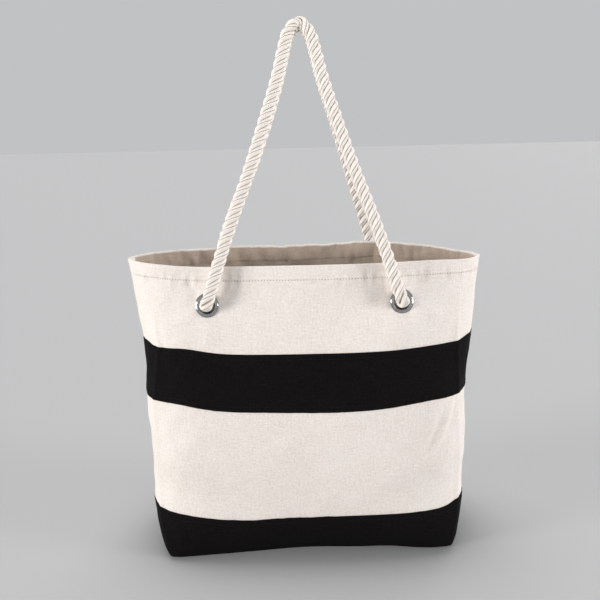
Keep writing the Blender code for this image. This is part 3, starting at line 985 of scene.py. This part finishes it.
def add_needle_hole_shade(name, wall, rows, look):
    """The small pits at the ends of each stitch, where the thread goes down into the cloth, coloured dark as
    painted shade in the needle holes.
    """
    points, faces = [], []
    sides = 8
    angles = 2 * math.pi * np.arange(sides) / sides
    for shares, heights, depths, _ in rows:
        step = (shares[1] - shares[0]) / 2
        centre = wall.at(shares + step, heights, depths)
        out = unit(wall.at(shares + step, heights, depths - 0.001) - centre)
        across = unit(np.cross(out, (0, 0, 1.0)))
        up = np.cross(out, across)
        for spot, x, y, z in zip(centre, across, up, out):
            start = len(points)
            rim = [spot + HOLE_RADIUS * (1.1 * math.cos(a) * x + math.sin(a) * y) for a in angles]
            points += [spot + z * 0.00012, *rim, spot - z * 0.0003]
            for side in range(sides):
                beside = (side + 1) % sides
                faces.append((start, start + 1 + side, start + 1 + beside))
                faces.append((start + sides + 1, start + 1 + beside, start + 1 + side))
    add_piece(name, np.array(points), faces, look)


def add_all_stitching(wall, looks, side_name, side):
    """Hem, band and side seam stitching of the front or back."""
    start, end = side_seams(side)
    inset = 0.004
    first, last = start + inset, end - inset
    on_black = -0.00044
    hem_rows = [row_across(wall, first, last, BAG_HEIGHT - drop, -0.00010) for drop in HEM_STITCH_DROPS]
    add_stitching(f"{side_name}_hem_stitching", wall, hem_rows, looks["cream_thread"])
    # Dark pits at the needle holes, coloured as painted shade
    pits = [(shares, heights, depths + 0.00042, up) for shares, heights, depths, up in hem_rows]
    add_needle_hole_shade(f"{side_name}_hem_needle_hole_shade", wall, pits, looks["pit_shade"])

    band_rows = []
    for name, direction in (("base", -1), ("lower", 1), ("upper", -1)):
        for offset in BAND_STITCH_OFFSETS:
            height = SEAM_HEIGHTS[name] + direction * offset
            band_rows.append(row_across(wall, first, last, height, on_black))
    seam_rows = {"cream": [], "black": []}
    stretches = (
        ("black", 0.006, SEAM_HEIGHTS["base"] - 0.001),
        ("cream", SEAM_HEIGHTS["base"] + 0.001, SEAM_HEIGHTS["lower"] - 0.001),
        ("black", SEAM_HEIGHTS["lower"] + 0.001, SEAM_HEIGHTS["upper"] - 0.001),
        ("cream", SEAM_HEIGHTS["upper"] + 0.001, BAG_HEIGHT - 0.003),
    )
    for colour, low, high in stretches:
        for seam, direction in ((start, 1), (end, -1)):
            share = seam + direction * SIDE_STITCH_OFFSET / HALF_LENGTH
            proud = SEAM_RIDGE if side < 0 else 0.0
            depth = (0.0002 if colour == "cream" else -0.0002) - proud
            seam_rows[colour].append(row_up(low, high, share, depth))
    black_rows = band_rows + seam_rows["black"]
    add_stitching(f"{side_name}_band_stitching", wall, black_rows, looks["black_thread"])
    cream_rows = seam_rows["cream"]
    add_stitching(f"{side_name}_side_stitching", wall, cream_rows, looks["cream_thread"])


def add_seam_binding(wall, looks, end_name, end):
    """Tape over the raw edges of a side seam, inside the bag, stitched down along both edges."""
    middle = 0 if end > 0 else 1 - LEFT_SEAM_SHIFT
    half = TAPE_HALF_WIDTH / HALF_LENGTH
    shares = edge_steps(middle - half, middle + half, 0.0022 / HALF_LENGTH, PLY / 2 / HALF_LENGTH)
    heights = edge_steps(0.0055, BAG_HEIGHT - HEM_DEPTH - 0.002, Wall.ROW, PLY / 2)
    tape = cloth_strip(
        f"{end_name}_seam_binding_tape", wall, shares, heights, 0.0021, 0.0030,
        looks["tape"], "seam_tape", [f"{end_name}_seam_binding"],
    )
    rows = [row_up(0.008, BAG_HEIGHT - HEM_DEPTH - 0.004, middle + way * 0.0108 / HALF_LENGTH, 0.0030)
            for way in (-1, 1)]
    add_stitching(f"{end_name}_seam_binding_stitching", wall, rows, looks["cream_thread"])


# Grommets


def grommet_place(side, end):
    """Where a grommet sits: origin on the outer face of the canvas, +Z straight out of it."""
    x, z = end * HANDLE_SPREAD, GROMMET_HEIGHT
    step = 0.008
    centre = Vector((x, wall_y(x, z, side), z))
    across = Vector((2 * step, wall_y(x + step, z, side) - wall_y(x - step, z, side), 0))
    up = Vector((0, wall_y(x, z + step, side) - wall_y(x, z - step, side), 2 * step))
    out = across.cross(up).normalized()
    if out.y * side < 0:
        out.negate()
    across.normalize()
    place = Matrix((across, out.cross(across), out)).transposed().to_4x4()
    place.translation = centre
    return place


def add_turned(name, profile, place, look, replaces, segments=96):
    """A ring turned about its Z axis from a closed outline of (radius, height) points."""
    profile = np.array(profile)
    count = len(profile)
    angles = 2 * math.pi * np.arange(segments) / segments
    points = np.stack([
        np.outer(np.cos(angles), profile[:, 0]),
        np.outer(np.sin(angles), profile[:, 0]),
        np.tile(profile[:, 1], (segments, 1)),
    ], axis=-1).reshape(-1, 3)
    turn = np.array(place)
    points = points @ turn[:3, :3].T + turn[:3, 3]
    faces = []
    for segment in range(segments):
        following = (segment + 1) % segments
        for corner in range(count):
            beside = (corner + 1) % count
            faces.append((
                segment * count + corner,
                following * count + corner,
                following * count + beside,
                segment * count + beside,
            ))
    piece = add_piece(name, points, faces, look, replaces)
    piece.data.set_sharp_from_angle(angle=math.radians(50))


def arc(middle, radius, start, end, steps):
    """Points on an arc in a profile, between two angles in degrees."""
    angles = np.radians(np.linspace(start, end, steps))
    return [(middle[0] + radius * math.cos(a), middle[1] + radius * math.sin(a)) for a in angles]


def add_grommet(label, place, looks):
    """Both halves of an eyelet: the domed flange with its rolled outer lip, and the washer inside."""
    lip = 0.00055
    dome_middle = (BORE_RADIUS + FLANGE_RADIUS) / 2 - 0.0004
    dome_half = dome_middle - BORE_RADIUS
    flange = [(BORE_RADIUS, -BARREL_LENGTH + 0.0008), (BORE_RADIUS, 0.0006)]
    for step in range(1, 14):
        angle = math.pi * (1 - step / 14)
        flange.append((dome_middle + dome_half * math.cos(angle), 0.0006 + 0.0017 * math.sin(angle)))
    flange += arc((FLANGE_RADIUS - lip, 0.0003 + lip), lip, 140, -90, 12)
    flange += [(BORE_RADIUS + 0.0010, 0.0003), (BORE_RADIUS + 0.0010, -BARREL_LENGTH + 0.0008)]
    add_turned(
        f"{label}_grommet_flange", flange, place, looks["nickel"], [f"{label}_grommet"]
    )
    under = -0.0023
    inner = BORE_RADIUS + 0.0011
    washer = [(inner, under)]
    washer += arc((FLANGE_RADIUS - 0.0004, under - 0.0004), 0.0004, 90, -60, 6)
    washer += arc((inner + 0.0016, under - 0.0008), 0.0012, -30, -170, 9)
    add_turned(
        f"{label}_grommet_backing", washer, place, looks["nickel"], [f"{label}_grommet_washer"]
    )


# Rope


def smooth_route(points, spacing):
    """Points at even steps on a Catmull-Rom curve through the given ones."""
    points = [np.asarray(point, float) for point in points]
    ends = [points[0] * 2 - points[1], *points, points[-1] * 2 - points[-2]]
    fine = []
    for before, start, end, after in zip(ends, ends[1:], ends[2:], ends[3:]):
        # Centripetal knots keep the curve from looping where the points are unevenly spaced.
        knots = np.cumsum([0] + [
            math.sqrt(max(np.linalg.norm(second - first), 1e-9))
            for first, second in ((before, start), (start, end), (end, after))
        ])
        for t in np.linspace(knots[1], knots[2], 24, endpoint=False):

            def blend(low, high, first, second):
                return ((knots[high] - t) * first + (t - knots[low]) * second) / (knots[high] - knots[low])

            early, middle, late = blend(0, 1, before, start), blend(1, 2, start, end), blend(2, 3, end, after)
            fine.append(blend(1, 2, blend(0, 2, early, middle), blend(1, 3, middle, late)))
    fine.append(points[-1])
    fine = np.array(fine)
    along = distances(fine)
    wanted = np.linspace(0, along[-1], max(2, round(along[-1] / spacing)) + 1)
    return np.stack([np.interp(wanted, along, fine[:, axis]) for axis in range(3)], axis=1)


def tail_end(side, end):
    """The middle of the rope's cut end, below its knot."""
    middle = grommet_place(side, end) @ Vector((0, 0, -BARREL_LENGTH - KNOT_LENGTH * 0.55))
    return np.array((middle.x, middle.y, GROMMET_HEIGHT - TAIL_DROP))


def knot_route(side, end):
    """From the cut end up into the stopper knot, round the rope's own standing part, and out through
    the grommet, as points from the tail to the outside."""
    place = grommet_place(side, end)
    turn = -end * side

    def at(inward, angle, radius):
        a = math.radians(angle)
        return np.array(place @ Vector((turn * radius * math.cos(a), radius * math.sin(a), -inward)))

    foot = tail_end(side, end)
    rise = np.array((0, 0, 1.0))
    side_of_knot = at(0.0160, -8, 0.0165)
    tail = [foot, foot + rise * 0.012, foot + rise * 0.026]
    tail.append(foot * 0.45 + side_of_knot * 0.55 + rise * 0.002)
    wraps = [at(0.0155 + 0.0165 * angle / 400, angle, 0.0172) for angle in range(0, 401, 40)]
    turn_back = [at(0.0375, 440, 0.0150), at(0.0410, 462, 0.0080), at(0.0365, 480, 0.0022)]
    standing = [at(0.0270, 0, 0.0), at(0.0160, 0, 0.0), at(0.0060, 0, 0.0), at(-0.0040, 0, 0.0)]
    return tail + wraps + turn_back + standing


def hinge_y(side):
    """Y of the line through both grommets that a handle swings about."""
    return wall_y(HANDLE_SPREAD, GROMMET_HEIGHT, side) + side * HINGE_STANDOFF


def handle_route(side):
    """The whole of one handle's rope, from the left tail to the right one."""
    axis_y = hinge_y(side)
    lean = (side * HANDLE_TOP_Y - axis_y) / (HANDLE_TOP - ARM_LEAN_START)
    first_rises = ((HANDLE_SPREAD - 0.0030, 0.0100, 0.0), (HANDLE_SPREAD - 0.0080, 0.0240, -0.0030))

    def arm(end):
        bend = np.array((end * HANDLE_SPREAD, axis_y - side * 0.0029, GROMMET_HEIGHT + 0.0029))
        rows = [(x, GROMMET_HEIGHT + rise, sway) for x, rise, sway in first_rises] + list(HANDLE_ROUTE)
        return [bend] + [
            np.array((end * x + (sway if side > 0 else 0), axis_y + lean * max(0, z - ARM_LEAN_START), z))
            for x, z, sway in rows
        ]

    left = knot_route(side, -1) + arm(-1)
    right = knot_route(side, 1) + arm(1)
    return smooth_route(left[:-1] + right[::-1], ROPE_STEP)


def strand_frames(route):
    """Two unit vectors across the route at each point, carried along without twisting."""
    tangent = unit(np.gradient(route, axis=0))
    across = np.zeros_like(route)
    first = Vector(tangent[0]).orthogonal().normalized()
    across[0] = first
    for index in range(1, len(route)):
        turn = Vector(tangent[index - 1]).rotation_difference(Vector(tangent[index]))
        across[index] = turn @ Vector(across[index - 1])
    across = unit(across - tangent * np.sum(across * tangent, axis=1, keepdims=True))
    return across, np.cross(tangent, across)


def tube_rings(centre, first, second, radius, sides, wider=1.0):
    """Rings of points round a line, on two unit vectors across it; wider stretches the second."""
    angles = 2 * math.pi * np.arange(sides) / sides
    return (
        centre[:, None]
        + first[:, None] * (radius[:, None] * np.cos(angles))[..., None]
        + second[:, None] * (radius[:, None] * np.sin(angles) * wider)[..., None]
    ).reshape(-1, 3)


def rope_shape(route, radius, lay, squeeze):
    """Points, faces and cloth coordinates of three strands twisted to the right round a route."""
    sides = 16
    across, beside = strand_frames(route)
    along = distances(route)
    centre_radius = radius * 0.525 * squeeze
    strand_radius = radius * 0.475 * squeeze
    points, faces, uv = [], [], []
    for strand in range(3):
        phase = 2 * math.pi * (along / lay + strand / 3)
        outward = across * np.cos(phase)[:, None] + beside * np.sin(phase)[:, None]
        centre = route + outward * centre_radius[:, None]
        direction = unit(np.gradient(centre, axis=0))
        first = unit(outward - direction * np.sum(outward * direction, axis=1, keepdims=True))
        second = np.cross(direction, first)
        offset = len(points) * len(route) * sides
        points.append(tube_rings(centre, first, second, strand_radius, sides, wider=1.02))
        around, length = np.meshgrid(np.arange(sides) / sides, along, indexing="xy")
        uv.append(np.stack([around + strand * 7, length], axis=-1).reshape(-1, 2))
        faces.append(ring_faces(np.arange(len(route) * sides).reshape(len(route), sides) + offset))
    return np.concatenate(points), np.concatenate(faces), np.concatenate(uv), len(route), sides


def add_handle(looks, side_name, side):
    """One rope: both knots and tails, and the loop between the grommets, bending where it leaves them."""
    route = handle_route(side)
    along = distances(route)
    to_end = np.minimum(along, along[-1] - along)
    squeeze = 0.87 + 0.13 * smoothstep(to_end, WHIPPING_LENGTH - 0.001, WHIPPING_LENGTH + 0.004)
    points, faces, uv, rings, sides = rope_shape(route, ROPE_RADIUS, ROPE_LAY, squeeze)
    faces = [tuple(face) for face in faces]
    for strand in range(3):
        start = strand * rings * sides
        faces.append(tuple(range(start, start + sides)))
        last = start + (rings - 1) * sides
        faces.append(tuple(range(last, last + sides)))
    rope = add_piece(
        f"{side_name}_handle_rope_strands", points, faces, looks["rope"],
        [f"{side_name}_handle_rope", *(f"{side_name}_{end}_knot" for end in ENDS)], uv, body=None,
    )
    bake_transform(rope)
    whippings = [add_whipping(looks, side_name, side, end_name, end) for end_name, end in ENDS.items()]
    return along[-1]


def add_whipping(looks, side_name, side, end_name, end):
    """Waxed twine wound tightly round the cut end of the rope."""
    foot = tail_end(side, end)
    twine = 0.00055
    turns = int((WHIPPING_LENGTH - 0.002) / (2 * twine))
    steps = 40
    angle = 2 * math.pi * np.arange(turns * steps + 1) / steps
    height = 0.001 + twine + angle / (2 * math.pi) * 2 * twine
    radius = ROPE_RADIUS * 0.87 + twine * 0.75
    route = foot + np.column_stack([radius * np.cos(angle), radius * np.sin(angle), height])
    sides = 6
    across, beside = strand_frames(route)
    points = tube_rings(route, across, beside, np.full(len(route), twine), sides)
    index = np.arange(len(route) * sides).reshape(len(route), sides)
    faces = [tuple(face) for face in ring_faces(index)]
    faces += [tuple(index[0]), tuple(index[-1])]
    return add_piece(
        f"{side_name}_{end_name}_whipping_twine", points, faces, looks["twine"],
        [f"{side_name}_{end_name}_whipping"],
    )


# The whole bag


def main():
    add_camera()
    looks = make_looks()
    for side_name, side in SIDES.items():
        length = add_handle(looks, side_name, side)
        print(f"{side_name} rope {length:.4f} m")
    wall = Wall()
    for side_name, side in SIDES.items():
        add_panels(wall, looks, side_name, side)
        add_all_stitching(wall, looks, side_name, side)
        for end_name, end in ENDS.items():
            add_grommet(f"{side_name}_{end_name}", grommet_place(side, end), looks)
    for end_name, end in ENDS.items():
        add_seam_binding(wall, looks, end_name, end)
    add_bottom(wall, looks)
    add_floor()
    add_studio()


main()
